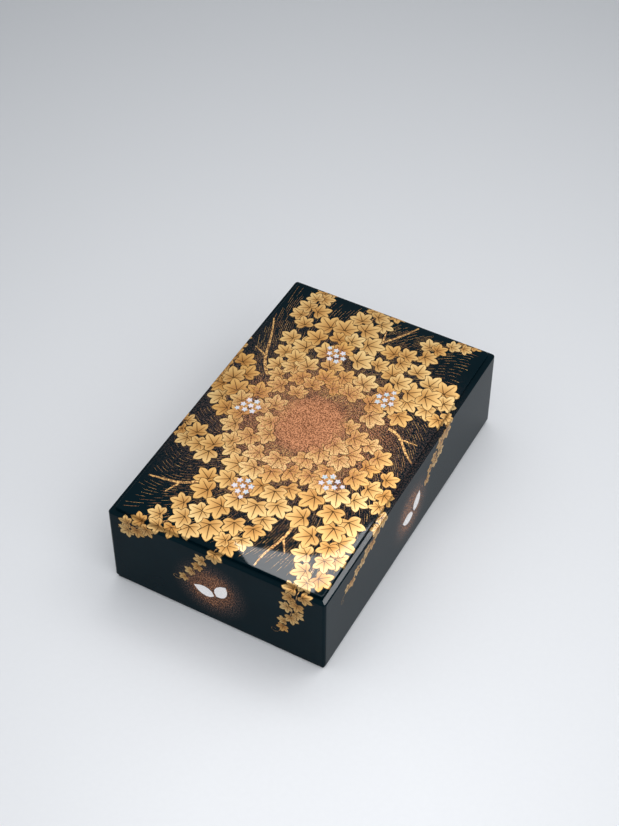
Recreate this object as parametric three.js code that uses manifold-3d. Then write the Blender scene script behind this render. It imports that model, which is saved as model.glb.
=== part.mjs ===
// A black lacquer letter box: a deep lid with a crowned top slips over a box and stands on its plinth.
// Blossoms and sprouts of two leaves, all of shell, are let into pockets in the lid.
// Millimetres, +Z up. The origin is the middle of the underside, Y runs along the box.

import * as THREE from 'three';
import { mergeVertices } from 'three/addons/utils/BufferGeometryUtils.js';
import Module from 'manifold-3d';

const wasm = await Module();
wasm.setup();

// The lid, outside
const LENGTH = 280;
const WIDTH = 178;
const SIDE_HEIGHT = 71.5;
const CORNER_RADIUS = 2.6;
const LEDGE_WIDTH = 4.3;
const LEDGE_FALL = 0.4;
const RISER_HEIGHT = 2.9;
const CROWN_HEIGHT = 2.4;
const CROWN_POWER = 4;
const EDGE_ROUND = 1.0;
const PANEL_ROUND = 0.6;
const RIM_ROUND = 0.5;

// The lid, inside
const LID_WALL = 4;
const TOP_THICKNESS = 6;
const INNER_RADIUS = 1.2;

// The box under the lid
const PLINTH_HEIGHT = 3.5;
const PLINTH_INSET = 1.4;
const LID_CLEARANCE = 0.7;
const BOX_WALL = 3.2;
const BOX_RIM_HEIGHT = 70;
const FLOOR_HEIGHT = 6.5;
const BOX_ROUND = 0.6;

// Shell inlay
const SHELL_THICKNESS = 0.95;
const SHELL_PROUD = 0.3;
const GLUE_LINE = 0.3;
const POCKET_GAP = 0.3;
const CUT_OVER = 3;

// Bunches of shell blossoms on the top, around an oval
const BUNCHES = 5;
const BUNCH_START = 40;
const BUNCH_OVAL = 0.6;
const BUNCH_TURN = 35;
const BUNCH_ROWS = [2, 3, 2, 1];
const BLOSSOM_SPACING = 6;
const BLOSSOM_RADII = [2.4, 2.5, 2.4, 2.1];
const BLOSSOM_TWIST = 57;
const BLOSSOM_PETALS = 5;
const PETAL_NOTCH = 0.56;
const PETAL_BULGE = 0.97;
const PETAL_BULGE_ANGLE = 15;

// A sprout of two shell leaves on each side
const LEAF_LENGTH = 17;
const LEAF_HALF = 5;
const LEAF_BASE_FULLNESS = 0.16;
const LEAF_TIP_FULLNESS = 0.66;
const LEAF_POINT_GROW = 1.4;
const LEAF_SPREAD = 52;
const LEAF_FROM_NODE = 1.6;
const SPROUT_TILT = 24;
const SPROUT_RISE = 5;
const INLAY_HEIGHT = 35;

// Steps that turn the rings and curves into facets
const CORNER_STEPS = 3;
const SHORT_SIDE_STEPS = 4;
const LONG_SIDE_STEPS = 5;
const PROFILE_STEPS = 2;
const CURVE_STEPS = 5;
const PETAL_STEPS = 2;
const CROWN_RINGS = [0.25, 0.5, 0.7, 0.85, 0.94];

const RIM_Z = PLINTH_HEIGHT;
const EDGE_Z = RIM_Z + SIDE_HEIGHT;
const LEDGE_Z = EDGE_Z + LEDGE_FALL;
const PANEL_Z = LEDGE_Z + RISER_HEIGHT;
const PANEL_INSET = LEDGE_WIDTH + PANEL_ROUND;
const PANEL_HALF_X = WIDTH / 2 - PANEL_INSET;
const PANEL_HALF_Y = LENGTH / 2 - PANEL_INSET;

const lacquer = new THREE.MeshStandardMaterial({ color: 0x0b1014, roughness: 0.08, metalness: 0 });
const shell = new THREE.MeshStandardMaterial({ color: 0xe9e6e1, roughness: 0.22, metalness: 0 });

const radians = THREE.MathUtils.degToRad;

// How far the crowned top stands above its edge
function crown(x, y) {
  const across = Math.max(0, 1 - Math.abs(x / PANEL_HALF_X) ** CROWN_POWER);
  const along = Math.max(0, 1 - Math.abs(y / PANEL_HALF_Y) ** CROWN_POWER);
  return CROWN_HEIGHT * across * along;
}

// A rounded rectangle inset from the lid's outside, counter-clockwise, with a fixed number of points
function ring(inset, radius) {
  const halfX = WIDTH / 2 - inset - radius;
  const halfY = LENGTH / 2 - inset - radius;
  const corners = [[1, 1], [-1, 1], [-1, -1], [1, -1]].map(([sx, sy], quarter) => {
    const from = quarter * Math.PI / 2;
    const arc = new THREE.EllipseCurve(sx * halfX, sy * halfY, radius, radius, from, from + Math.PI / 2);
    return arc.getPoints(CORNER_STEPS);
  });
  return corners.flatMap((corner, quarter) => {
    const steps = quarter % 2 ? LONG_SIDE_STEPS : SHORT_SIDE_STEPS;
    const start = corner.at(-1);
    const end = corners[(quarter + 1) % corners.length][0];
    const side = [];
    for (let step = 1; step < steps; step++) {
      side.push(start.clone().lerp(end, step / steps));
    }
    return [...corner, ...side];
  });
}

// Rings of a crowned surface, from its middle outwards
function crownRings(inset, edgeZ) {
  return CROWN_RINGS.map((scale) => ring(inset, INNER_RADIUS).map((point) => {
    const x = point.x * scale;
    const y = point.y * scale;
    return new THREE.Vector3(x, y, edgeZ + crown(x, y));
  }));
}

// Rings that follow a profile, whose x is the distance from the lid's outside, negative inwards
function profileRings(profile) {
  return profile.getPoints(PROFILE_STEPS).map(({ x, y }) => {
    const radius = Math.max(CORNER_RADIUS + x, INNER_RADIUS);
    return ring(-x, radius).map((point) => new THREE.Vector3(point.x, point.y, y));
  });
}

// A closed surface through rings, from one middle point to another
function loft(start, rings, end) {
  const count = rings[0].length;
  const points = [start, ...rings.flat(), end];
  const at = (row, i) => 1 + row * count + i % count;
  const last = rings.length - 1;
  const index = [];
  for (let i = 0; i < count; i++) {
    index.push(0, at(0, i), at(0, i + 1));
    for (let row = 0; row < last; row++) {
      index.push(at(row, i), at(row + 1, i), at(row + 1, i + 1));
      index.push(at(row, i), at(row + 1, i + 1), at(row, i + 1));
    }
    index.push(at(last, i), points.length - 1, at(last, i + 1));
  }
  return new THREE.BufferGeometry().setFromPoints(points).setIndex(index);
}

// The lid before its pockets are cut: over the top, down the sides, across the rim, up to the ceiling
function lidBlank() {
  const profile = new THREE.Path();
  profile.moveTo(-PANEL_INSET, PANEL_Z);
  profile.absarc(-PANEL_INSET, PANEL_Z - PANEL_ROUND, PANEL_ROUND, Math.PI / 2, 0, true);
  profile.lineTo(-LEDGE_WIDTH, LEDGE_Z);
  profile.lineTo(-EDGE_ROUND, EDGE_Z);
  profile.absarc(-EDGE_ROUND, EDGE_Z - EDGE_ROUND, EDGE_ROUND, Math.PI / 2, 0, true);
  profile.lineTo(0, RIM_Z + RIM_ROUND);
  profile.absarc(-RIM_ROUND, RIM_Z + RIM_ROUND, RIM_ROUND, 0, -Math.PI / 2, true);
  profile.lineTo(-LID_WALL, RIM_Z);
  const ceilingZ = PANEL_Z - TOP_THICKNESS;
  profile.lineTo(-LID_WALL, ceilingZ);
  const top = new THREE.Vector3(0, 0, PANEL_Z + CROWN_HEIGHT);
  const ceiling = new THREE.Vector3(0, 0, ceilingZ + CROWN_HEIGHT);
  return loft(top, [
    ...crownRings(PANEL_INSET, PANEL_Z),
    ...profileRings(profile),
    ...crownRings(LID_WALL, ceilingZ).reverse(),
  ], ceiling);
}

// The box: from the middle of its floor up the inside, over the rim, down to the plinth and under it
function boxGeometry() {
  const outside = -LID_WALL - LID_CLEARANCE;
  const inside = outside - BOX_WALL;
  const profile = new THREE.Path();
  profile.moveTo(inside, FLOOR_HEIGHT);
  profile.lineTo(inside, BOX_RIM_HEIGHT - BOX_ROUND);
  profile.absarc(inside + BOX_ROUND, BOX_RIM_HEIGHT - BOX_ROUND, BOX_ROUND, Math.PI, Math.PI / 2, true);
  profile.lineTo(outside - BOX_ROUND, BOX_RIM_HEIGHT);
  profile.absarc(outside - BOX_ROUND, BOX_RIM_HEIGHT - BOX_ROUND, BOX_ROUND, Math.PI / 2, 0, true);
  profile.lineTo(outside, PLINTH_HEIGHT);
  profile.lineTo(-PLINTH_INSET, PLINTH_HEIGHT);
  profile.lineTo(-PLINTH_INSET, BOX_ROUND);
  profile.absarc(-PLINTH_INSET - BOX_ROUND, BOX_ROUND, BOX_ROUND, 0, -Math.PI / 2, true);
  const floor = new THREE.Vector3(0, 0, FLOOR_HEIGHT);
  const underside = new THREE.Vector3(0, 0, 0);
  return loft(floor, profileRings(profile), underside);
}

// A five-petalled blossom with pointed tips
function blossomShape(radius) {
  const step = 2 * Math.PI / BLOSSOM_PETALS;
  const at = (share, angle) => {
    const point = new THREE.Vector2(radius * share, 0);
    return point.rotateAround(new THREE.Vector2(), angle);
  };
  const shape = new THREE.Shape();
  const first = at(PETAL_NOTCH, -step / 2);
  shape.moveTo(first.x, first.y);
  for (let petal = 0; petal < BLOSSOM_PETALS; petal++) {
    const middle = petal * step;
    const tip = at(1, middle);
    const notch = at(PETAL_NOTCH, middle + step / 2);
    const before = at(PETAL_BULGE, middle - radians(PETAL_BULGE_ANGLE));
    const after = at(PETAL_BULGE, middle + radians(PETAL_BULGE_ANGLE));
    shape.quadraticCurveTo(before.x, before.y, tip.x, tip.y);
    shape.quadraticCurveTo(after.x, after.y, notch.x, notch.y);
  }
  return shape;
}

// A pointed leaf that grows up from the origin. grow widens it all round
function leafShape(grow) {
  const half = (LEAF_HALF + grow) * 4 / 3;
  const foot = -grow * LEAF_POINT_GROW;
  const tip = LEAF_LENGTH + grow * LEAF_POINT_GROW;
  const low = LEAF_LENGTH * LEAF_BASE_FULLNESS;
  const high = LEAF_LENGTH * LEAF_TIP_FULLNESS;
  const shape = new THREE.Shape();
  shape.moveTo(0, foot);
  shape.bezierCurveTo(half, low, half, high, 0, tip);
  shape.bezierCurveTo(-half, high, -half, low, 0, foot);
  return shape;
}

// A plate of a shape, lying on the XY plane
function plate(shape, depth, curveSegments) {
  return new THREE.ExtrudeGeometry(shape, { depth, curveSegments, bevelEnabled: false });
}

// The sprays of blossoms: where each blossom stands on the top, and how it is turned
function blossomPlaces() {
  const places = [];
  for (let bunch = 0; bunch < BUNCHES; bunch++) {
    const angle = radians(BUNCH_START + bunch * 360 / BUNCHES);
    const middle = new THREE.Vector2(
      BUNCH_OVAL * PANEL_HALF_X * Math.cos(angle),
      BUNCH_OVAL * PANEL_HALF_Y * Math.sin(angle),
    );
    const rowDepth = BLOSSOM_SPACING * Math.sin(Math.PI / 3);
    let number = 0;
    BUNCH_ROWS.forEach((count, row) => {
      for (let i = 0; i < count; i++) {
        const along = (row - (BUNCH_ROWS.length - 1) / 2) * rowDepth;
        const across = (i - (count - 1) / 2) * BLOSSOM_SPACING;
        const spot = new THREE.Vector2(along, across);
        spot.rotateAround(new THREE.Vector2(), angle + radians(BUNCH_TURN)).add(middle);
        number += 1;
        places.push({
          name: `shell_blossom_${bunch + 1}_${number}`,
          spot,
          radius: BLOSSOM_RADII[row],
          turn: angle + number * radians(BLOSSOM_TWIST),
        });
      }
    });
  }
  return places;
}

// The four sides, each as a frame whose x runs along the side, y up and z out of it
function sideFrames() {
  return ['front', 'right', 'back', 'left'].map((name, quarter) => {
    const turn = quarter * Math.PI / 2;
    const distance = quarter % 2 ? WIDTH / 2 : LENGTH / 2;
    const group = new THREE.Group();
    group.name = `${name}_side`;
    group.rotation.set(Math.PI / 2, turn, 0, 'ZXY');
    group.position.set(Math.sin(turn) * distance, -Math.cos(turn) * distance, INLAY_HEIGHT);
    group.updateMatrixWorld(true);
    return { name, group };
  });
}

// A closed geometry as a solid that can be cut
function solidOf(geometry) {
  const bare = geometry.clone();
  bare.deleteAttribute('normal');
  bare.deleteAttribute('uv');
  const merged = mergeVertices(bare);
  return new wasm.Manifold(new wasm.Mesh({
    numProp: 3,
    vertProperties: merged.attributes.position.array,
    triVerts: new Uint32Array(merged.index.array),
  }));
}

// A solid as a geometry again
function geometryOf(solid) {
  const { vertProperties, triVerts } = solid.getMesh();
  const geometry = new THREE.BufferGeometry();
  geometry.setAttribute('position', new THREE.BufferAttribute(new Float32Array(vertProperties), 3));
  geometry.setIndex(new THREE.BufferAttribute(new Uint32Array(triVerts), 1));
  return geometry;
}

function namedMesh(name, geometry, material) {
  const mesh = new THREE.Mesh(geometry, material);
  mesh.name = name;
  return mesh;
}

const letterBox = new THREE.Group();
const pockets = [];

const pocketDepth = SHELL_THICKNESS + GLUE_LINE - SHELL_PROUD;

for (const { name, spot, radius, turn } of blossomPlaces()) {
  const bed = PANEL_Z + crown(spot.x, spot.y) - pocketDepth;
  const pocket = plate(blossomShape(radius + POCKET_GAP), CUT_OVER, PETAL_STEPS);
  pocket.rotateZ(turn).translate(spot.x, spot.y, bed);
  pockets.push(pocket);
  const blossom = namedMesh(name, plate(blossomShape(radius), SHELL_THICKNESS, PETAL_STEPS), shell);
  blossom.position.set(spot.x, spot.y, bed + GLUE_LINE);
  blossom.rotation.z = turn;
  letterBox.add(blossom);
}

for (const side of sideFrames()) {
  for (const [which, lean] of [['right', -1], ['left', 1]]) {
    const leaf = namedMesh(`shell_leaf_${side.name}_${which}`,
      plate(leafShape(0), SHELL_THICKNESS, CURVE_STEPS), shell);
    const tilt = radians(SPROUT_TILT + lean * LEAF_SPREAD);
    leaf.rotation.z = tilt;
    leaf.position.set(
      -LEAF_FROM_NODE * Math.sin(tilt),
      LEAF_FROM_NODE * Math.cos(tilt) - SPROUT_RISE,
      GLUE_LINE - pocketDepth,
    );
    side.group.add(leaf);
    side.group.updateMatrixWorld(true);
    const pocket = plate(leafShape(POCKET_GAP), CUT_OVER, CURVE_STEPS);
    pocket.translate(0, 0, -GLUE_LINE).applyMatrix4(leaf.matrixWorld);
    pockets.push(pocket);
  }
  letterBox.add(side.group);
}

let lid = solidOf(lidBlank());
for (const pocket of pockets) {
  lid = lid.subtract(solidOf(pocket));
}

letterBox.add(namedMesh('lid', geometryOf(lid), lacquer));
letterBox.add(namedMesh('box', boxGeometry(), lacquer));

export default letterBox;
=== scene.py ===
import math
import random

import bmesh
import bpy
import numpy as np
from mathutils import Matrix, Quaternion, Vector


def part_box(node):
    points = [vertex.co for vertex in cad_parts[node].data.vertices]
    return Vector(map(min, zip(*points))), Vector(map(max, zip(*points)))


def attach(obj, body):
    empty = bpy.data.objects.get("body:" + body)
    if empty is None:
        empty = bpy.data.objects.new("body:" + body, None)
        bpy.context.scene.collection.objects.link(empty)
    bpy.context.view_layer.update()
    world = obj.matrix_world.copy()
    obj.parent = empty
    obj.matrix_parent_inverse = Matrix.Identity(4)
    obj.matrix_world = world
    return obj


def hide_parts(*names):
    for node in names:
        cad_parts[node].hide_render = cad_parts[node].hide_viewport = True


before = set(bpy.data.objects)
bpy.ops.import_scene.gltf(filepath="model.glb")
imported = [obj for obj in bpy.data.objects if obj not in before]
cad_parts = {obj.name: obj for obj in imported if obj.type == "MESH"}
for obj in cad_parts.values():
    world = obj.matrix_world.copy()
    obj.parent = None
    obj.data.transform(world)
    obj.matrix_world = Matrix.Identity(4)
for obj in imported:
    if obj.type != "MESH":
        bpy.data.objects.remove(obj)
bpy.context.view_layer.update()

# The looks of a black lacquer letter box: a polished lid with gold leaves, copper dust and shell.
# Sizes here are millimetres, and meshes are made in metres.
MM = 0.001

# The lid's form, as in the frame
lid_low, lid_high = (np.array(corner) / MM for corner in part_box("lid"))
WIDTH, LENGTH = (lid_high - lid_low)[:2]
RIM_Z = lid_low[2]
CROWN_HEIGHT = 2.4
CROWN_POWER = 4
RISER_HEIGHT = 2.9
LEDGE_WIDTH = 4.3
LEDGE_FALL = 0.4
CORNER_RADIUS = 2.6
INNER_RADIUS = 1.2
PANEL_ROUND = 0.6
EDGE_ROUND = 1.0
RIM_ROUND = 0.5
LID_WALL = 4
TOP_THICKNESS = 6
PANEL_Z = lid_high[2] - CROWN_HEIGHT
LEDGE_Z = PANEL_Z - RISER_HEIGHT
EDGE_Z = LEDGE_Z - LEDGE_FALL
PANEL_INSET = LEDGE_WIDTH + PANEL_ROUND
PANEL_HALF = np.array([WIDTH, LENGTH]) / 2 - PANEL_INSET

# How finely the lid is divided
ARC_STEPS = 5
CORNER_STEPS = 7
SIDE_STEPS = (40, 60)
CROWN_RINGS = 34
WALL_ROWS = 18

# Copper dust: the haze in the middle of the top, its outskirts, and clouds over the top and round the shell
HAZE_RADIUS = 31
OUTSKIRTS_RADIUS = 82
OUTSKIRTS_DUST = 0.6
BUNCH_CLOUD = 13
BUNCH_DUST = 0.6
TOP_CLOUD = 105
TOP_DUST = 0.42
EDGE_FADE = 6
DUST_GRAIN = 0.62
SIDE_CLOUD = 25
SIDE_DUST = 0.6

# Gold garlands, winding out of the haze and over the edges, with sprigs between them
SEED = 11
GARLANDS = 5
GARLAND_ANGLE = math.radians(52)
GARLAND_TURN = math.radians(-46)
GARLAND_REACH = (0.30, 1.42)
GARLAND_WIDTHS = ((0, 22), (0.2, 28), (0.4, 26), (0.54, 14), (0.68, 11), (0.86, 7), (1, 2))
GARLAND_LEAF = 14.8
SPRIG_ANGLE = math.radians(80)
SPRIG_TURN = math.radians(-40)
SPRIG_REACH = (0.32, 1.34)
SPRIG_WIDTHS = ((0, 14), (0.3, 12), (0.55, 9), (0.75, 4), (1, 2))
SPRIG_LEAF = 13.4
EDGE_POWER = 5
LEAF_SIZES = ((0, 0.95), (0.45, 1), (0.8, 0.62), (1, 0.46))
LEAF_SPACING = ((0, 0.9), (0.6, 0.9), (0.85, 1.05), (1, 1.2))
LEAF_TRIES = 1400
LEAF_BACK = 0.3
SIZE_SPREAD = (0.86, 1.1)
FORWARD_PULL = 1.1
FORWARD_LOSS = 0.7
SIDE_PULL = 1.2
HEADING_SPREAD = 0.4
ORDER_SPREAD = 0.9
OVERLAP_SHARE = 0.9
CORNER_CLEAR = 3
INLAY_CLEAR = 18
RIM_CLEAR = 5

# One leaf, as shares of the reach of its middle lobe
LOBE_SPACING = math.radians(50)
LOBE_REACH = (1.0, 0.92, 0.66)
LOBE_BULGE = 0.84
LOBE_BULGE_ANGLE = math.radians(21)
LOBE_NOTCH = 0.66
LEAF_HEEL = 0.16
HEEL_BULGE = 0.62
HEEL_ANGLE = math.radians(146)
LEAF_STEPS = 5
LEAF_RINGS = (0.66, 0.33)
RIM_WIDTH = 0.42
RIM_SHARE = 0.05

# Films of gold: how far each layer stands off the lacquer, and how deep a film is bedded
FIRST_LIFT = 0.03
LAYER_LIFT = 0.014
FILM_BED = 0.06

# Fine gold lines on the ground
LINES = 260
LINE_TURN = math.radians(-46)
LINE_REACH = (0.2, 1.2)
LINE_LIFT = 0.012
LINE_WIDTH = 0.17
DASH_LENGTHS = (0.03, 0.1)
DASH_GAPS = (0.012, 0.045)
DASH_WIDTHS = (0.7, 1.2)
DASH_TAPER = (0.5, 1, 1, 1, 1, 0.5)
LINE_START = 0.05
LINE_MARGIN = 1.5
LINE_WANDER = 0.02
LINE_WAVES = 9
LINE_SHIFT = 5

# Stems along the ends of the garlands, tendrils beyond them, and twigs in the gaps
STEM_SHARES = (0.5, 1.0)
STEM_WIDTH = 0.45
STEM_LIFT = 0.02
STEM_POINTS = 24
STEM_TAPER = (1.6, 0.8)
STEM_TONE = 0.5
TENDRIL_LENGTH = 15
TENDRIL_CURL = math.radians(330)
TENDRIL_WIDTH = 0.28
TENDRIL_TAPER = (1, 0.5)
TENDRIL_PIECES = 22
TENDRIL_TONE = 0.7
TWIG_ANGLE = math.radians(102)
TWIG_SHARES = (0.30, 0.62)
TWIG_WIDTH = 2.7
TWIG_POINTS = 12
TWIG_TAPER = (1, 0.45)
TWIG_BEND = 1.5
TWIG_TONE = 0.65
TWIG_FORK = math.radians(38)
FORK_POINT = 4
SHOOT_LENGTH = 15
SHOOT_POINTS = 6
SHOOT_TAPER = (0.7, 0.3)
SHOOT_LIFT = 0.016

# Polished edges of the shell
SHELL_EDGE = 0.12

# The camera that was fitted to the photo, for a picture 826 high
AZIMUTH = math.radians(28.76)
ELEVATION = math.radians(46.66)
CAMERA_DISTANCE = 4.672
CAMERA_RISE = 0.045
FOCAL_PIXELS = 1745
PICTURE_HEIGHT = 826
SENSOR = 36

# Lights, placed in metres away from the camera, to its right and up. The card only shines in polished parts.
SOFTBOX_PLACE = (0.3, 0.9, 1.6)
SOFTBOX_SIZE = (1.0, 1.0)
SOFTBOX_POWER = 5
FILL_PLACE = (-1.3, 0.9, 1.3)
FILL_SIZE = (1.6, 1.2)
FILL_POWER = 9
CARD_PLACE = (0.69, 0.15, 1.47)
CARD_SIZE = (0.68, 0.26)
CARD_POWER = 29
CARD_TURN = math.radians(14)
SKY_STRENGTH = 1.19

# The floor: half its side, and its painted pool of light: paper painted paler near a spot in front of the
# box and darker with the distance from it
FLOOR_HALF = 4.0
PAINTED_LIGHT_SPOT = 0.3
PAINTED_LIGHT_NARROWING = 1.3
PAINTED_LIGHT_REACH = 0.1


# The lid's surface

def crown(x, y):
    """How far the crowned top stands above its edge."""
    across = np.clip(1 - np.abs(x / PANEL_HALF[0]) ** CROWN_POWER, 0, None)
    along = np.clip(1 - np.abs(y / PANEL_HALF[1]) ** CROWN_POWER, 0, None)
    return CROWN_HEIGHT * across * along


def quarter_arc(centre, radius, start):
    """Points of a quarter circle, clockwise from start degrees."""
    angles = np.radians(np.linspace(start, start - 90, ARC_STEPS + 1))
    return [(centre[0] + radius * math.cos(a), centre[1] + radius * math.sin(a)) for a in angles]


def outer_profile():
    """The lid's outside from the panel's edge to the rim, as (distance past the panel, z)."""
    rows = np.linspace(EDGE_Z - EDGE_ROUND, RIM_Z + RIM_ROUND, WALL_ROWS + 1)[1:-1]
    return np.array([
        *quarter_arc((0, PANEL_Z - PANEL_ROUND), PANEL_ROUND, 90),
        (PANEL_ROUND, LEDGE_Z),
        *quarter_arc((PANEL_INSET - EDGE_ROUND, EDGE_Z - EDGE_ROUND), EDGE_ROUND, 90),
        *[(PANEL_INSET, z) for z in rows],
        *quarter_arc((PANEL_INSET - RIM_ROUND, RIM_Z + RIM_ROUND), RIM_ROUND, 0),
    ])


PROFILE = outer_profile()
PROFILE_RUN = np.concatenate([[0], np.cumsum(np.linalg.norm(np.diff(PROFILE, axis=0), axis=1))])


def run_to(z):
    """How far down the profile a height on the wall is."""
    wall = PROFILE[:, 0] == PANEL_INSET
    return np.interp(-z, -PROFILE[wall, 1], PROFILE_RUN[wall])


def fold(flat):
    """Points of the flat pattern carried onto the lid: on the top, or over an edge and down a side."""
    past = np.abs(flat) - PANEL_HALF
    sides = np.sign(flat)
    x, y = flat.T
    points = np.stack([x, y, PANEL_Z + crown(x, y)], axis=1)
    for axis in (0, 1):
        over = (past[:, axis] > 0) & (past[:, axis] >= past[:, 1 - axis])
        run = past[over, axis]
        outward = np.interp(run, PROFILE_RUN, PROFILE[:, 0])
        points[over, axis] = sides[over, axis] * (PANEL_HALF[axis] + outward)
        points[over, 2] = np.interp(run, PROFILE_RUN, PROFILE[:, 1])
    return points


def fold_normals(flat, step=0.02):
    """The lid's outward direction under points of the flat pattern."""
    ahead, aside = np.array([step, 0]), np.array([0, step])
    normals = np.cross(fold(flat + ahead) - fold(flat - ahead), fold(flat + aside) - fold(flat - aside))
    return normals / np.linalg.norm(normals, axis=1, keepdims=True)


# Shell places, read from the frame

def middle(*nodes):
    """The middle of some nodes together, in millimetres."""
    boxes = [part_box(node) for node in nodes]
    low = np.min([np.array(box[0]) for box in boxes], axis=0)
    high = np.max([np.array(box[1]) for box in boxes], axis=0)
    return (low + high) / 2 / MM


BLOSSOMS = [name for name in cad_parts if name.startswith("shell_blossom")]
SIDE_LEAVES = [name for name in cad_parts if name.startswith("shell_leaf")]
BUNCH_NAMES = sorted({name.rsplit("_", 1)[0] for name in BLOSSOMS})
SIDE_NAMES = sorted({name.rsplit("_", 1)[0] for name in SIDE_LEAVES})
BUNCH_MIDDLES = [middle(*[n for n in BLOSSOMS if n.startswith(bunch + "_")]) for bunch in BUNCH_NAMES]
SIDE_MIDDLES = [middle(*[n for n in SIDE_LEAVES if n.startswith(side + "_")]) for side in SIDE_NAMES]
TOP_MIDDLE = np.array([0, 0, lid_high[2]])


def cloud(points, centre, radius):
    """A soft round cloud: 1 in its middle half, and 0 at about one and a half radii."""
    distance = np.linalg.norm(points - centre, axis=1) / radius
    share = np.clip((1.5 - distance) / 1.0, 0, 1)
    return share * share * (3 - 2 * share)


def dust_at(points):
    """How much copper dust lies at points on the lid: the wide clouds keep to its top."""
    on_top = np.clip((points[:, 2] - EDGE_Z) / EDGE_FADE + 1, 0, 1)
    clouds = [cloud(points, TOP_MIDDLE, HAZE_RADIUS)]
    clouds += [on_top * OUTSKIRTS_DUST * cloud(points, TOP_MIDDLE, OUTSKIRTS_RADIUS)]
    clouds += [on_top * TOP_DUST * cloud(points, TOP_MIDDLE, TOP_CLOUD)]
    clouds += [BUNCH_DUST * cloud(points, spot, BUNCH_CLOUD) for spot in BUNCH_MIDDLES]
    clouds += [SIDE_DUST * cloud(points, spot, SIDE_CLOUD) for spot in SIDE_MIDDLES]
    return np.max(clouds, axis=0)


# Materials

class Paint:
    """A node material, and short ways to add nodes to it."""

    def __init__(self, name):
        self.material = bpy.data.materials.new(name)
        self.material.use_nodes = True
        self.tree = self.material.node_tree
        self.shader = self.tree.nodes["Principled BSDF"]

    def put(self, socket, value):
        if isinstance(value, bpy.types.NodeSocket):
            self.tree.links.new(value, socket)
        else:
            socket.default_value = value

    def set(self, **values):
        """Sets or links the shader's sockets, named with _ for spaces."""
        for name, value in values.items():
            self.put(self.shader.inputs[name.replace("_", " ")], value)

    def add(self, kind, **settings):
        node = self.tree.nodes.new(kind)
        for name, value in settings.items():
            setattr(node, name, value)
        return node

    def math(self, operation, *values):
        node = self.add("ShaderNodeMath", operation=operation)
        for socket, value in zip(node.inputs, values):
            self.put(socket, value)
        return node.outputs[0]

    def step(self, value, low, high, start=0.0, end=1.0):
        """Smoothly from start to end as value goes from low to high."""
        node = self.add("ShaderNodeMapRange", interpolation_type="SMOOTHSTEP")
        for socket, number in zip(node.inputs, (value, low, high, start, end)):
            self.put(socket, number)
        return node.outputs[0]

    def mix(self, share, first, second):
        node = self.add("ShaderNodeMix", data_type="RGBA")
        for socket, value in zip((node.inputs[0], node.inputs[6], node.inputs[7]), (share, first, second)):
            self.put(socket, value)
        return node.outputs[2]

    def attribute(self, name):
        return self.add("ShaderNodeAttribute", attribute_name=name).outputs["Fac"]

    def noise(self, size, detail=2.0):
        """Noise whose grains are about size millimetres across, in the object's own space."""
        place = self.add("ShaderNodeTexCoord").outputs["Object"]
        node = self.add("ShaderNodeTexNoise")
        self.put(node.inputs["Vector"], place)
        self.put(node.inputs["Scale"], 1 / (size * MM))
        self.put(node.inputs["Detail"], detail)
        return node.outputs["Fac"]


def colour(red, green, blue):
    return (red, green, blue, 1)


LACQUER_IOR = 1.125
# Near-black lacquer, its own colour, with a blue cast that is a painted reflection of bluish surroundings
LACQUER_TINTS_WITH_PAINTED_REFLECTION = (colour(0.0003, 0.0076, 0.0118), colour(0.0006, 0.0092, 0.014))
GOLD_DEEP = (colour(0.36, 0.165, 0.042), colour(0.44, 0.25, 0.085))
GOLD_LIGHT = (colour(0.58, 0.335, 0.105), colour(0.66, 0.48, 0.22))
VEIN_BROWN = colour(0.035, 0.014, 0.006)
OUTLINE_BROWNS = (colour(0.016, 0.007, 0.004), colour(0.05, 0.022, 0.009))
LINE_GOLDS = (colour(0.42, 0.19, 0.08), colour(0.74, 0.47, 0.17))
LINE_WORN = colour(0.12, 0.055, 0.025)
# Floor paper with painted light: a lit colour in front and a painted shade further back; the fibre colour is
# the paper's own
PAPER_PAINTED_LIT = colour(0.875, 0.885, 0.905)
PAPER_PAINTED_SHADE = colour(0.43, 0.445, 0.465)
PAPER_FIBRE = colour(0.6, 0.6, 0.62)
SKY_LOW = colour(0.46, 0.465, 0.475)
SKY_HIGH = colour(0.70, 0.715, 0.735)
COPPER_DARK = colour(0.12, 0.042, 0.018)
COPPER_BRIGHT = colour(0.53, 0.235, 0.115)
POWDER = colour(0.12, 0.075, 0.064)


def polish(paint):
    """The clear, mirror-smooth lacquer over everything."""
    paint.set(Coat_Weight=1.0, Coat_Roughness=0.03, Coat_IOR=LACQUER_IOR, Specular_IOR_Level=0.0)


def dust_mask(paint, most=0.31, least=0.90, soft=0.05):
    """Where copper flakes lie: more of the grains as the dust attribute rises."""
    dust = paint.attribute("dust")
    grain = paint.noise(DUST_GRAIN, 1.0)
    edge = paint.step(dust, 0.0, 1.0, least, most)
    low = paint.math("SUBTRACT", edge, soft)
    high = paint.math("ADD", edge, soft)
    return paint.step(grain, low, high)


def copper(paint):
    """Copper flakes of many tones."""
    return paint.mix(paint.step(paint.noise(0.9, 2.0), 0.35, 0.65), COPPER_DARK, COPPER_BRIGHT)


def lacquer_material():
    paint = Paint("black_lacquer")
    flakes = dust_mask(paint)
    depth = paint.step(paint.noise(30), 0.3, 0.7)
    # Ground colour: the lacquer's own near black, with a painted bluish reflection
    ground = paint.mix(depth, *LACQUER_TINTS_WITH_PAINTED_REFLECTION)
    powder = paint.step(paint.noise(1.0, 3.0), 0.42, 0.68)
    powder = paint.math("MULTIPLY", powder, paint.step(paint.attribute("dust"), 0.02, 0.45, 0.0, 0.8))
    ground = paint.mix(powder, ground, POWDER)
    paint.set(Base_Color=paint.mix(flakes, ground, copper(paint)))
    paint.set(Metallic=paint.math("MULTIPLY", flakes, 0.15))
    paint.set(Roughness=paint.step(flakes, 0.0, 1.0, 0.5, 0.42))
    polish(paint)
    return paint.material


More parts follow.
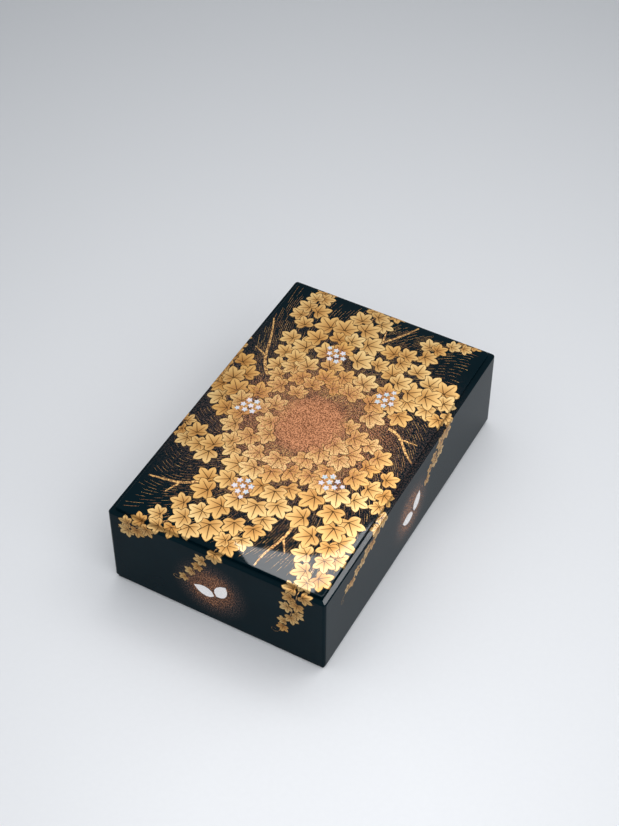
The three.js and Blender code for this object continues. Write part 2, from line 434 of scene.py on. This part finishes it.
def leaf_veins(paint):
    """1 on the midrib of each lobe, from the leaf's own coordinates."""
    x, y = paint.attribute("leaf_x"), paint.attribute("leaf_y")
    reach = paint.math("SQRT", paint.math("ADD", paint.math("MULTIPLY", x, x), paint.math("MULTIPLY", y, y)))
    angle = paint.math("ARCTAN2", y, x)
    nearest = paint.math("ROUND", paint.math("DIVIDE", angle, LOBE_SPACING))
    lobe = paint.math("MAXIMUM", paint.math("MINIMUM", nearest, 2.0), -2.0)
    off = paint.math("SUBTRACT", angle, paint.math("MULTIPLY", lobe, LOBE_SPACING))
    along = paint.math("MULTIPLY", reach, paint.math("COSINE", off))
    across = paint.math("ABSOLUTE", paint.math("MULTIPLY", reach, paint.math("SINE", off)))
    end = paint.math("SUBTRACT", 0.82, paint.math("MULTIPLY", paint.math("ABSOLUTE", lobe), 0.16))
    left = paint.math("SUBTRACT", end, along)
    half = paint.math("ADD", paint.math("MULTIPLY", left, 0.021), 0.005)
    line = paint.step(paint.math("SUBTRACT", across, half), 0.0, 0.014, 1.0, 0.0)
    vein = paint.math("MULTIPLY", line, paint.step(left, 0.0, 0.04))
    return reach, across, vein


def gold_material():
    paint = Paint("gold_leaf")
    reach, across, vein = leaf_veins(paint)
    tone = paint.attribute("tone")
    deep = paint.mix(tone, *GOLD_DEEP)
    light = paint.mix(tone, *GOLD_LIGHT)
    gold = paint.mix(paint.step(reach, 0.12, 0.78), deep, light)
    gold = paint.mix(paint.step(across, 0.0, 0.10, 0.35, 0.0), gold, deep)
    grain = paint.step(paint.noise(0.5, 1.0), 0.3, 0.7, 0.0, 0.28)
    gold = paint.mix(grain, gold, deep)
    gold = paint.mix(paint.math("MULTIPLY", vein, 0.9), gold, VEIN_BROWN)
    flakes = dust_mask(paint, 0.33, 0.86)
    paint.set(Base_Color=paint.mix(flakes, gold, copper(paint)))
    paint.set(Metallic=paint.math("MULTIPLY", paint.math("SUBTRACT", 1.0, vein), 0.2))
    paint.set(Roughness=paint.step(paint.noise(0.6), 0.3, 0.7, 0.36, 0.48))
    polish(paint)
    return paint.material


def leaf_line_material():
    paint = Paint("leaf_outline")
    shade = paint.step(paint.noise(2.0), 0.35, 0.65)
    paint.set(Base_Color=paint.mix(shade, *OUTLINE_BROWNS))
    paint.set(Roughness=0.5)
    polish(paint)
    return paint.material


def gold_line_material():
    paint = Paint("gold_line")
    tone = paint.attribute("tone")
    gold = paint.mix(tone, *LINE_GOLDS)
    worn = paint.step(paint.noise(1.2), 0.38, 0.62)
    paint.set(Base_Color=paint.mix(worn, LINE_WORN, gold))
    paint.set(Metallic=0.25, Roughness=0.42)
    polish(paint)
    return paint.material


def shell_material(name, tints):
    """Mother-of-pearl: pale, with clouds of soft colour, and a painted sheen of another tint that grows as
    the surface turns from the camera.
    """
    paint = Paint(name)
    patches = paint.step(paint.noise(3.2, 1.0), 0.36, 0.64)
    fine = paint.step(paint.noise(1.1, 2.0), 0.35, 0.65)
    # Painted sheen: the last tint is mixed into the base colour by the viewing angle.
    facing = paint.add("ShaderNodeLayerWeight").outputs["Facing"]
    painted_sheen = paint.step(facing, 0.1, 0.6, 0.0, 0.35)
    body = paint.mix(patches, tints[0], tints[1])
    body = paint.mix(paint.math("MULTIPLY", fine, 0.6), body, tints[2])
    paint.set(Base_Color=paint.mix(painted_sheen, body, tints[3]))
    paint.set(Roughness=paint.step(fine, 0.0, 1.0, 0.16, 0.28))
    paint.set(Coat_Weight=1.0, Coat_Roughness=0.04, Coat_IOR=1.4)
    return paint.material


LACQUER = lacquer_material()
GOLD = gold_material()
LEAF_LINE = leaf_line_material()
GOLD_LINE = gold_line_material()
# The fourth tint of each shell is the colour of its painted sheen.
BLOSSOM_SHELL = shell_material("blossom_shell", (
    colour(0.84, 0.80, 0.82), colour(0.44, 0.70, 0.74), colour(0.90, 0.52, 0.66), colour(0.68, 0.86, 0.76)))
LEAF_SHELL = shell_material("leaf_shell", (
    colour(0.90, 0.96, 0.92), colour(0.95, 0.94, 0.92), colour(0.97, 0.97, 0.95), colour(0.96, 0.82, 0.84)))


# Meshes

def add_piece(name, points, faces, materials):
    mesh = bpy.data.meshes.new(name)
    mesh.from_pydata((np.asarray(points) * MM).tolist(), [], [list(map(int, face)) for face in faces])
    for material in materials:
        mesh.materials.append(material)
    mesh.shade_smooth()
    piece = bpy.data.objects.new(name, mesh)
    bpy.context.scene.collection.objects.link(piece)
    return piece


def set_attribute(piece, name, values):
    attribute = piece.data.attributes.new(name, "FLOAT", "POINT")
    attribute.data.foreach_set("value", np.asarray(values, dtype=np.float32))


# The lid

def ring(inset, radius):
    """A rounded rectangle inset from the lid's outside, counter-clockwise."""
    half = np.array([WIDTH, LENGTH]) / 2 - inset - radius
    corners = []
    for quarter, signs in enumerate(((1, 1), (-1, 1), (-1, -1), (1, -1))):
        angles = np.radians(90 * quarter + np.linspace(0, 90, CORNER_STEPS + 1))
        corners.append(half * signs + radius * np.stack([np.cos(angles), np.sin(angles)], axis=1))
    points = []
    for quarter, corner in enumerate(corners):
        following = corners[(quarter + 1) % 4]
        shares = np.linspace(0, 1, SIDE_STEPS[quarter % 2] + 1)[1:-1, None]
        points += [corner, corner[-1] + shares * (following[0] - corner[-1])]
    return np.concatenate(points)


def crown_rings(inset, edge_z):
    """Rings of a crowned surface from near its middle outwards, closest where it rolls off."""
    rings = []
    for share in np.linspace(0, 1, CROWN_RINGS + 1)[1:-1]:
        x, y = (ring(inset, INNER_RADIUS) * math.sin(share * math.pi / 2)).T
        rings.append(np.stack([x, y, edge_z + crown(x, y)], axis=1))
    return rings


def level_ring(past_panel, z):
    """One ring of the profile, past the panel's edge by a distance."""
    inset = PANEL_INSET - past_panel
    flat = ring(inset, max(CORNER_RADIUS - inset, INNER_RADIUS))
    return np.column_stack([flat, np.full(len(flat), z)])


def loft(start, rings, end):
    """Points and faces of a closed surface through rings, from one middle point to another."""
    count = len(rings[0])
    points = np.concatenate([[start], *rings, [end]])
    faces = []
    for i in range(count):
        after = (i + 1) % count
        faces.append((0, 1 + i, 1 + after))
        for row in range(len(rings) - 1):
            here = 1 + row * count
            faces.append((here + i, here + count + i, here + count + after, here + after))
        here = 1 + (len(rings) - 1) * count
        faces.append((here + i, len(points) - 1, here + after))
    return points, faces


def make_lid():
    ceiling_z = PANEL_Z - TOP_THICKNESS
    inner = [(PANEL_INSET - LID_WALL, RIM_Z), (PANEL_INSET - LID_WALL, ceiling_z)]
    rings = crown_rings(PANEL_INSET, PANEL_Z)
    rings += [level_ring(past, z) for past, z in [*PROFILE, *inner]]
    rings += crown_rings(LID_WALL, ceiling_z)[::-1]
    start = (0, 0, PANEL_Z + CROWN_HEIGHT)
    end = (0, 0, ceiling_z + CROWN_HEIGHT)
    points, faces = loft(start, rings, end)
    lid = add_piece("lacquer_lid", points, faces, [LACQUER])
    set_attribute(lid, "dust", dust_at(points))
    lid.data.set_sharp_from_angle(angle=math.radians(35))
    normals = lid.modifiers.new("even_shading", "WEIGHTED_NORMAL")
    normals.keep_sharp = True
    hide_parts("lid")
    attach(lid, "root")


# Films of gold in the flat pattern

FOLD_LINES = [(axis, side * (PANEL_HALF[axis] + run))
              for axis in (0, 1) for side in (-1, 1) for run in PROFILE_RUN]


def split_at_folds(points, local, faces, slots):
    """A flat plate with an edge added wherever the lid's surface folds under it."""
    low, high = points.min(axis=0), points.max(axis=0)
    lines = [(axis, value) for axis, value in FOLD_LINES if low[axis] < value < high[axis]]
    if not lines:
        return points, local, faces, slots
    plate = bmesh.new()
    layers = [plate.verts.layers.float.new(name) for name in ("x", "y")]
    corners = []
    for (u, v), place in zip(points, local):
        corner = plate.verts.new((u, v, 0))
        for layer, value in zip(layers, place):
            corner[layer] = value
        corners.append(corner)
    for face, slot in zip(faces, slots):
        plate.faces.new([corners[i] for i in face]).material_index = slot
    for axis, value in lines:
        where, across = [0, 0, 0], [0, 0, 0]
        where[axis], across[axis] = value, 1
        everything = plate.verts[:] + plate.edges[:] + plate.faces[:]
        bmesh.ops.bisect_plane(plate, geom=everything, dist=1e-5, plane_co=where, plane_no=across)
    plate.verts.index_update()
    points = np.array([corner.co[:2] for corner in plate.verts])
    local = np.array([[corner[layer] for layer in layers] for corner in plate.verts])
    faces = [[corner.index for corner in face.verts] for face in plate.faces]
    slots = [face.material_index for face in plate.faces]
    plate.free()
    return points, local, faces, slots


class Film:
    """Thin plates gathered in the flat pattern, and carried onto the lid as one mesh of closed plates."""

    def __init__(self):
        self.points, self.local, self.lifts, self.tones = [], [], [], []
        self.faces, self.slots = [], []
        self.count = 0

    def add(self, points, local, faces, slots, lift, tone):
        points, local, faces, slots = split_at_folds(points, local, faces, slots)
        self.faces += [[i + self.count for i in face] for face in faces]
        self.slots += slots
        self.points.append(points)
        self.local.append(local)
        self.lifts.append(np.full(len(points), lift))
        self.tones.append(np.full(len(points), tone))
        self.count += len(points)

    def build(self, name, materials):
        flat = np.concatenate(self.points)
        lifts = np.concatenate(self.lifts)[:, None]
        base, normals = fold(flat), fold_normals(flat)
        points = np.concatenate([base + normals * lifts, base - normals * FILM_BED])
        below = len(flat)
        used = set()
        for face in self.faces:
            used.update(zip(face, face[1:] + face[:1]))
        walls = [(b, a, a + below, b + below) for a, b in used if (b, a) not in used]
        backs = [[i + below for i in reversed(face)] for face in self.faces]
        piece = add_piece(name, points, self.faces + backs + walls, materials)
        slots = self.slots + self.slots + [0] * len(walls)
        piece.data.polygons.foreach_set("material_index", np.array(slots, dtype=np.int32))
        local = np.concatenate(self.local)
        set_attribute(piece, "leaf_x", np.tile(local[:, 0], 2))
        set_attribute(piece, "leaf_y", np.tile(local[:, 1], 2))
        set_attribute(piece, "tone", np.tile(np.concatenate(self.tones), 2))
        set_attribute(piece, "dust", np.tile(dust_at(base), 2))
        piece.data.normals_split_custom_set_from_vertices(np.concatenate([normals, -normals]))
        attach(piece, "root")


# One leaf

def polar(reach, angle):
    return np.array([reach * math.cos(angle), reach * math.sin(angle)])


def curve(start, control, end):
    """Points along a quadratic curve, without its start."""
    t = np.linspace(0, 1, LEAF_STEPS + 1)[1:, None]
    return (1 - t) ** 2 * start + 2 * t * (1 - t) * control + t ** 2 * end


def lobe_reach(lobe):
    """How far a lobe reaches, by its number from the middle one."""
    return LOBE_REACH[abs(lobe)]


def leaf_outline():
    """Five pointed lobes round the origin, with the middle one along +X, counter-clockwise."""
    heel = polar(LEAF_HEEL, math.pi)
    at = heel
    points = []
    for lobe in range(-2, 3):
        middle_angle = lobe * LOBE_SPACING
        tip = polar(lobe_reach(lobe), middle_angle)
        bulge = LOBE_BULGE * lobe_reach(lobe)
        before = polar(bulge, middle_angle - LOBE_BULGE_ANGLE)
        after = polar(bulge, middle_angle + LOBE_BULGE_ANGLE)
        if lobe == -2:
            before = polar(HEEL_BULGE, -HEEL_ANGLE)
        notch = heel
        if lobe == 2:
            after = polar(HEEL_BULGE, HEEL_ANGLE)
        else:
            depth = LOBE_NOTCH * (lobe_reach(lobe) + lobe_reach(lobe + 1)) / 2
            notch = polar(depth, middle_angle + LOBE_SPACING / 2)
        points += [curve(at, before, tip), curve(tip, after, notch)]
        at = notch
    return np.concatenate(points)


LEAF_OUTLINE = leaf_outline()


def shrink(outline, width):
    """An outline drawn in by a width, square to its edges."""
    edges = np.roll(outline, -1, axis=0) - outline
    inward = np.stack([-edges[:, 1], edges[:, 0]], axis=1)
    inward /= np.linalg.norm(inward, axis=1, keepdims=True)
    earlier = np.roll(inward, 1, axis=0)
    spread = 1 + np.sum(inward * earlier, axis=1, keepdims=True)
    return outline + width * (inward + earlier) / np.maximum(spread, 0.35)


def leaf_plate(size):
    """A leaf's points, as shares of its size, with faces and material slots: rim lines are slot 1."""
    inner = shrink(LEAF_OUTLINE, min(RIM_WIDTH / size, RIM_SHARE))
    rings = [LEAF_OUTLINE, inner, *[inner * share for share in LEAF_RINGS]]
    count = len(LEAF_OUTLINE)
    faces, slots = [], []
    for row in range(len(rings) - 1):
        for i in range(count):
            after = (i + 1) % count
            outer, inside = row * count, (row + 1) * count
            faces.append([outer + i, outer + after, inside + after, inside + i])
            slots.append(1 if row == 0 else 0)
    last = (len(rings) - 1) * count
    for i in range(count):
        faces.append([last + i, last + (i + 1) % count, last + count])
        slots.append(0)
    return np.concatenate([*rings, [[0, 0]]]), faces, slots


def turned(points, angle):
    turn = np.array([[math.cos(angle), math.sin(angle)], [-math.sin(angle), math.cos(angle)]])
    return points @ turn


# Garlands

def spiral(angle, reach):
    """A point of the flat pattern by its angle and its reach, which is 1 on the panel's edge."""
    x, y = math.cos(angle), math.sin(angle)
    edge = (abs(x) ** EDGE_POWER + abs(y) ** EDGE_POWER) ** (-1 / EDGE_POWER)
    return PANEL_HALF * (x, y) * edge * reach


class Garland:
    """A winding band of leaves, by its angle where it starts, its turn, reach, half-widths and leaf size."""

    def __init__(self, angle, turn, reach, widths, leaf):
        self.angle, self.turn, self.reach, self.leaf = angle, turn, reach, leaf
        self.widths = np.array(widths)

    def point(self, share):
        start, end = self.reach
        return spiral(self.angle + self.turn * share, start + (end - start) * share)

    def forward(self, share, step=0.01):
        way = self.point(share + step) - self.point(share - step)
        return way / np.linalg.norm(way)

    def half_width(self, share):
        return np.interp(share, *self.widths.T)


def side_spots():
    """Where the shell on the sides is in the flat pattern."""
    spots = []
    for x, y, z in SIDE_MIDDLES:
        spot = np.array([x, y])
        axis = int(np.argmax(np.abs(spot) / (WIDTH, LENGTH)))
        run = PANEL_HALF[axis] + run_to(z)
        spots.append(np.where(np.arange(2) == axis, np.sign(spot) * run, 0))
    return spots


SIDE_SPOTS = side_spots()


def clear_of_trouble(points):
    """True if a leaf keeps off the lid's corners, its rim and the shell on its sides."""
    past = np.abs(points) - PANEL_HALF
    in_corner = np.any(np.all(past > -CORNER_CLEAR, axis=1))
    near_shell = any(np.any(np.linalg.norm(points - spot, axis=1) < INLAY_CLEAR) for spot in SIDE_SPOTS)
    too_low = np.any(past > run_to(RIM_Z + RIM_CLEAR))
    return not (in_corner or near_shell or too_low)


def value_at(pairs, share):
    """A value that follows pairs of share and value."""
    return np.interp(share, *np.array(pairs).T)


def scatter_leaves(garlands, draw):
    """Leaves along the garlands, as dicts, none crowding another."""
    leaves, spots, sizes = [], [], []
    for number, garland in enumerate(garlands):
        for _ in range(LEAF_TRIES):
            share, aside = draw.random(), draw.uniform(-1, 1)
            forward = garland.forward(share)
            normal = np.array([-forward[1], forward[0]])
            spot = garland.point(share) + normal * aside * garland.half_width(share)
            size = garland.leaf * value_at(LEAF_SIZES, share) * draw.uniform(*SIZE_SPREAD)
            room = value_at(LEAF_SPACING, share) * (size + np.array(sizes)) / 2
            if spots and np.any(np.linalg.norm(np.array(spots) - spot, axis=1) < room):
                continue
            way = forward * (FORWARD_PULL - FORWARD_LOSS * abs(aside)) + normal * aside * SIDE_PULL
            heading = math.atan2(way[1], way[0]) + draw.uniform(-HEADING_SPREAD, HEADING_SPREAD)
            root = spot - LEAF_BACK * size * polar(1, heading)
            if not clear_of_trouble(root + turned(LEAF_OUTLINE * size, heading)):
                continue
            spots.append(spot)
            sizes.append(size)
            leaves.append({"garland": number, "spot": spot, "root": root, "size": size, "heading": heading,
                           "tone": draw.random(), "order": -abs(aside) + draw.uniform(0, ORDER_SPREAD)})
    return sorted(leaves, key=lambda leaf: leaf["order"])


def lay_leaves(leaves):
    """Gives each leaf its layer: one above every earlier leaf that it may overlap."""
    for i, leaf in enumerate(leaves):
        under = []
        for other in leaves[:i]:
            apart = np.linalg.norm(leaf["spot"] - other["spot"])
            if apart < OVERLAP_SHARE * (leaf["size"] + other["size"]):
                under.append(other["layer"])
        leaf["layer"] = max(under, default=-1) + 1


def garland_list():
    steps = [2 * math.pi * k / GARLANDS for k in range(GARLANDS)]
    garlands = [Garland(GARLAND_ANGLE + step, GARLAND_TURN, GARLAND_REACH, GARLAND_WIDTHS, GARLAND_LEAF)
                for step in steps]
    sprigs = [Garland(SPRIG_ANGLE + step, SPRIG_TURN, SPRIG_REACH, SPRIG_WIDTHS, SPRIG_LEAF)
              for step in steps]
    return garlands + sprigs


def make_garlands(garlands):
    leaves = scatter_leaves(garlands, random.Random(SEED))
    lay_leaves(leaves)
    for number in range(len(garlands)):
        film = Film()
        for leaf in leaves:
            if leaf["garland"] != number:
                continue
            plate, faces, slots = leaf_plate(leaf["size"])
            points = leaf["root"] + turned(plate * leaf["size"], leaf["heading"])
            lift = FIRST_LIFT + LAYER_LIFT * leaf["layer"]
            film.add(points, plate, faces, slots, lift, leaf["tone"])
        film.build(f"gold_garland_{number + 1}", [GOLD, LEAF_LINE])


# Fine lines

def stroke(film, path, widths, lift, tone):
    """A tapering ribbon along a path of the flat pattern."""
    path = np.array(path)
    along = np.gradient(path, axis=0)
    along /= np.linalg.norm(along, axis=1, keepdims=True)
    aside = np.stack([-along[:, 1], along[:, 0]], axis=1) * np.array(widths)[:, None] / 2
    points = np.concatenate([path - aside, path + aside])
    count = len(path)
    faces = [[i, i + 1, count + i + 1, count + i] for i in range(count - 1)]
    film.add(points, np.zeros_like(points), faces, [0] * len(faces), lift, tone)


def make_lines():
    """Broken gold lines that sweep outwards over the ground."""
    draw = random.Random(SEED + 1)
    film = Film()
    inside = PANEL_HALF - LINE_MARGIN
    for line in range(LINES):
        angle = 2 * math.pi * line / LINES
        share = draw.uniform(0, LINE_START)
        while share < 1:
            end = share + draw.uniform(*DASH_LENGTHS)
            path = []
            for at in np.linspace(share, end, len(DASH_TAPER)):
                reach = LINE_REACH[0] + (LINE_REACH[1] - LINE_REACH[0]) * at
                wander = LINE_WANDER * math.sin(LINE_WAVES * at + LINE_SHIFT * angle)
                path.append(spiral(angle + LINE_TURN * at + wander, reach))
            if np.all(np.abs(path) < inside):
                width = LINE_WIDTH * draw.uniform(*DASH_WIDTHS)
                stroke(film, path, np.array(DASH_TAPER) * width, LINE_LIFT, draw.random())
            share = end + draw.uniform(*DASH_GAPS)
    film.build("gold_lines", [GOLD_LINE])


# Stems, tendrils and twigs

def tendril(start, way, side):
    """A path that sets off along a way and curls up more and more tightly."""
    path = [start]
    heading = math.atan2(way[1], way[0])
    for piece in range(TENDRIL_PIECES):
        heading += side * TENDRIL_CURL * 2 * piece / TENDRIL_PIECES ** 2
        path.append(path[-1] + polar(TENDRIL_LENGTH / TENDRIL_PIECES, heading))
    return np.array(path)


def clear_start(path):
    """The part of a path before its first point in trouble."""
    for i in range(len(path)):
        if not clear_of_trouble(path[i:i + 1]):
            return path[:i]
    return path


def make_stems(garlands):
    film = Film()
    for number, garland in enumerate(garlands):
        shares = np.linspace(*STEM_SHARES, STEM_POINTS)
        path = clear_start(np.array([garland.point(share) for share in shares]))
        if len(path) < 3:
            continue
        stroke(film, path, np.linspace(*STEM_TAPER, len(path)) * STEM_WIDTH, STEM_LIFT, STEM_TONE)
        curl = tendril(path[-1], path[-1] - path[-2], 1 if number % 2 else -1)
        if clear_of_trouble(curl):
            widths = np.linspace(*TENDRIL_TAPER, len(curl)) * TENDRIL_WIDTH
            stroke(film, curl, widths, STEM_LIFT, TENDRIL_TONE)
    for number in range(GARLANDS):
        make_twig(film, TWIG_ANGLE + 2 * math.pi * number / GARLANDS)
    film.build("gold_stems", [GOLD_LINE])


def make_twig(film, angle):
    """A short bare branch with one fork, between two garlands."""
    course = Garland(angle, GARLAND_TURN, GARLAND_REACH, GARLAND_WIDTHS, GARLAND_LEAF)
    path = np.array([course.point(share) for share in np.linspace(*TWIG_SHARES, TWIG_POINTS)])
    bend = np.sin(np.linspace(0, 2 * math.pi, len(path)))[:, None] * TWIG_BEND
    aside = course.forward(TWIG_SHARES[0])[::-1] * (-1, 1)
    stroke(film, path + bend * aside, np.linspace(*TWIG_TAPER, len(path)) * TWIG_WIDTH, STEM_LIFT, TWIG_TONE)
    fork = path[FORK_POINT]
    way = turned((path[FORK_POINT + 1] - fork)[None], TWIG_FORK)[0]
    way /= np.linalg.norm(way)
    shoot = np.array([fork + way * length for length in np.linspace(0, SHOOT_LENGTH, SHOOT_POINTS)])
    stroke(film, shoot, np.linspace(*SHOOT_TAPER, len(shoot)) * TWIG_WIDTH, SHOOT_LIFT, TWIG_TONE)


# Shell and the box keep their solids; the shell gets polished edges

def finish_shell():
    for names, material in ((BLOSSOMS, BLOSSOM_SHELL), (SIDE_LEAVES, LEAF_SHELL)):
        for name in names:
            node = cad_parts[name]
            node.material_slots[0].material = material
            edges = node.modifiers.new("polished_edges", "BEVEL")
            edges.width = SHELL_EDGE * MM
            edges.segments = 2
            edges.limit_method = "ANGLE"
    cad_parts["box"].material_slots[0].material = LACQUER


# Camera, light and floor

def aim(thing, back):
    thing.rotation_mode = "QUATERNION"
    thing.rotation_quaternion = (-back).to_track_quat("-Z", "Y")


RIGHT = Vector((math.cos(AZIMUTH), math.sin(AZIMUTH), 0))
AWAY = Vector((-math.sin(AZIMUTH), math.cos(AZIMUTH), 0))
UP = Vector((0, 0, 1))


def view_back():
    """The direction from the object to the camera."""
    level = math.cos(ELEVATION)
    return Vector((math.sin(AZIMUTH) * level, -math.cos(AZIMUTH) * level, math.sin(ELEVATION)))


def make_camera():
    back = view_back()
    above = back.cross(RIGHT)
    camera = bpy.data.objects.new("camera", bpy.data.cameras.new("camera"))
    bpy.context.scene.collection.objects.link(camera)
    target = Vector((0, 0, EDGE_Z * MM))
    camera.location = target + (back * CAMERA_DISTANCE + above * CAMERA_RISE) * LENGTH * MM
    aim(camera, back)
    camera.data.sensor_width = SENSOR
    camera.data.lens = FOCAL_PIXELS / PICTURE_HEIGHT * SENSOR
    bpy.context.scene.camera = camera


def add_light(name, place, size, power, tint):
    """An area light aimed at the origin, placed in metres away, right and up."""
    away, right, up = place
    spot = AWAY * away + RIGHT * right + UP * up
    light = bpy.data.lights.new(name, "AREA")
    light.shape = "RECTANGLE"
    light.size, light.size_y = size
    light.energy = power
    light.color = tint
    lamp = bpy.data.objects.new(name, light)
    bpy.context.scene.collection.objects.link(lamp)
    lamp.location = spot
    aim(lamp, spot.normalized())
    return lamp


def make_light():
    add_light("softbox", SOFTBOX_PLACE, SOFTBOX_SIZE, SOFTBOX_POWER, (1.0, 0.99, 0.98))
    add_light("fill", FILL_PLACE, FILL_SIZE, FILL_POWER, (0.97, 0.985, 1.0))
    card = add_light("reflector", CARD_PLACE, CARD_SIZE, CARD_POWER, (0.97, 0.98, 1.0))
    card.rotation_quaternion @= Quaternion((0, 0, 1), CARD_TURN)
    card.visible_diffuse = False


def make_sky():
    """Soft light from all round, brighter from above."""
    world = bpy.data.worlds.new("studio")
    world.use_nodes = True
    bpy.context.scene.world = world
    tree = world.node_tree
    ramp = tree.nodes.new("ShaderNodeValToRGB")
    split = tree.nodes.new("ShaderNodeSeparateXYZ")
    place = tree.nodes.new("ShaderNodeTexCoord")
    tree.links.new(place.outputs["Generated"], split.inputs[0])
    tree.links.new(split.outputs["Z"], ramp.inputs[0])
    ramp.color_ramp.elements[0].color = SKY_LOW
    ramp.color_ramp.elements[1].color = SKY_HIGH
    tree.links.new(ramp.outputs[0], tree.nodes["Background"].inputs["Color"])
    tree.nodes["Background"].inputs["Strength"].default_value = SKY_STRENGTH


def floor_material():
    """Pale paper with a painted pool of light: painted paler near a spot in front of the box, and darker
    with the distance from it.
    """
    paint = Paint("paper_with_painted_light")
    place = paint.add("ShaderNodeTexCoord").outputs["Object"]
    split = paint.add("ShaderNodeSeparateXYZ")
    paint.put(split.inputs[0], place)
    # Painted light: the paper goes from its painted lit colour near the spot to its painted shade further
    # away.
    aside = paint.math("MULTIPLY", split.outputs["X"], PAINTED_LIGHT_NARROWING)
    ahead = paint.math("ADD", split.outputs["Y"], PAINTED_LIGHT_SPOT)
    distance = paint.math("SQRT", paint.math("ADD", paint.math("MULTIPLY", aside, aside),
                                             paint.math("MULTIPLY", ahead, ahead)))
    back = paint.math("SUBTRACT", distance, PAINTED_LIGHT_REACH)
    paper = paint.mix(back, PAPER_PAINTED_LIT, PAPER_PAINTED_SHADE)
    fibre = paint.step(paint.noise(4), 0.3, 0.7, 0.0, 0.03)
    paint.set(Base_Color=paint.mix(fibre, paper, PAPER_FIBRE))
    paint.set(Roughness=0.7)
    return paint.material


def make_floor():
    mesh = bpy.data.meshes.new("floor")
    corners = [(x * FLOOR_HALF, y * FLOOR_HALF, 0) for x, y in ((-1, -1), (1, -1), (1, 1), (-1, 1))]
    mesh.from_pydata(corners, [], [(0, 1, 2, 3)])
    mesh.materials.append(floor_material())
    floor = bpy.data.objects.new("floor", mesh)
    bpy.context.scene.collection.objects.link(floor)
    floor.rotation_euler.z = AZIMUTH


make_camera()
make_lid()
garlands = garland_list()
make_garlands(garlands)
make_lines()
make_stems(garlands)
finish_shell()
make_light()
make_sky()
make_floor()
bpy.context.scene.view_settings.view_transform = "Standard"
bpy.context.scene.cycles.use_denoising = True
